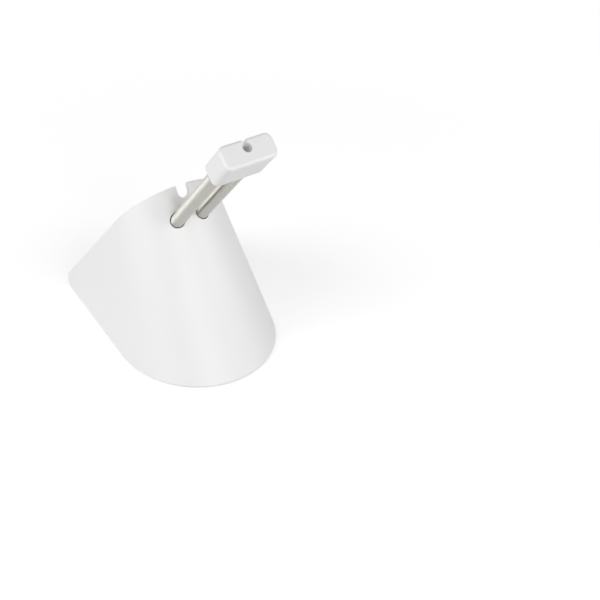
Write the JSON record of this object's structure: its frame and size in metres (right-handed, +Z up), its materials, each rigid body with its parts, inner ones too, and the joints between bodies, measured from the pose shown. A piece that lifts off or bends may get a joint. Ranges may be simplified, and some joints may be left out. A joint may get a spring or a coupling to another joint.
{
  "type": "mouse bungee",
  "caption": "Desk holder for a mouse cord: a white hood on a weighted foot, with twin coil springs that carry a small clip head with a cord slot.",
  "frame": {"origin": "on the desk, under the widest place of the hood, on its centre line", "axes": "+Z up, -Y towards the round nose and the clip head, +Y towards the open back, X across"},
  "size_m": [0.0678, 0.1171, 0.1145],
  "materials": {
    "white_shell": "satin white moulded plastic",
    "white_head": "satin white moulded plastic",
    "spring_wire": "nickel-plated close-wound wire",
    "zinc_plate": "zinc-plated steel",
    "screw_steel": "zinc-plated steel",
    "rubber_pad": "matt black anti-slip rubber",
    "dark_nylon": "black moulded nylon"
  },
  "bodies": {
    "base": {"housing": "white_shell", "base_tray": "white_shell", "ballast_plate": "zinc_plate", "grip_pad": "rubber_pad", "spring_bracket": "dark_nylon", "left_spring": "spring_wire", "right_spring": "spring_wire", "left_lower_plug": "zinc_plate", "right_lower_plug": "zinc_plate", "bracket_screws": "screw_steel", "base_screws": "screw_steel"},
    "head": {"head_clip": "white_head", "left_upper_plug": "zinc_plate", "right_upper_plug": "zinc_plate"}
  },
  "joints": [
    {"name": "arm_flex", "type": "hinge", "parent": "base", "child": "head", "pos_m": [0, -0.02193, 0.08102], "axis": [1, 0, 0], "range_deg": [-20, 30], "stiffness_Nm_per_rad": 0.15, "springref_deg": -0.32, "deforming": ["left_spring", "right_spring"]}
  ]
}
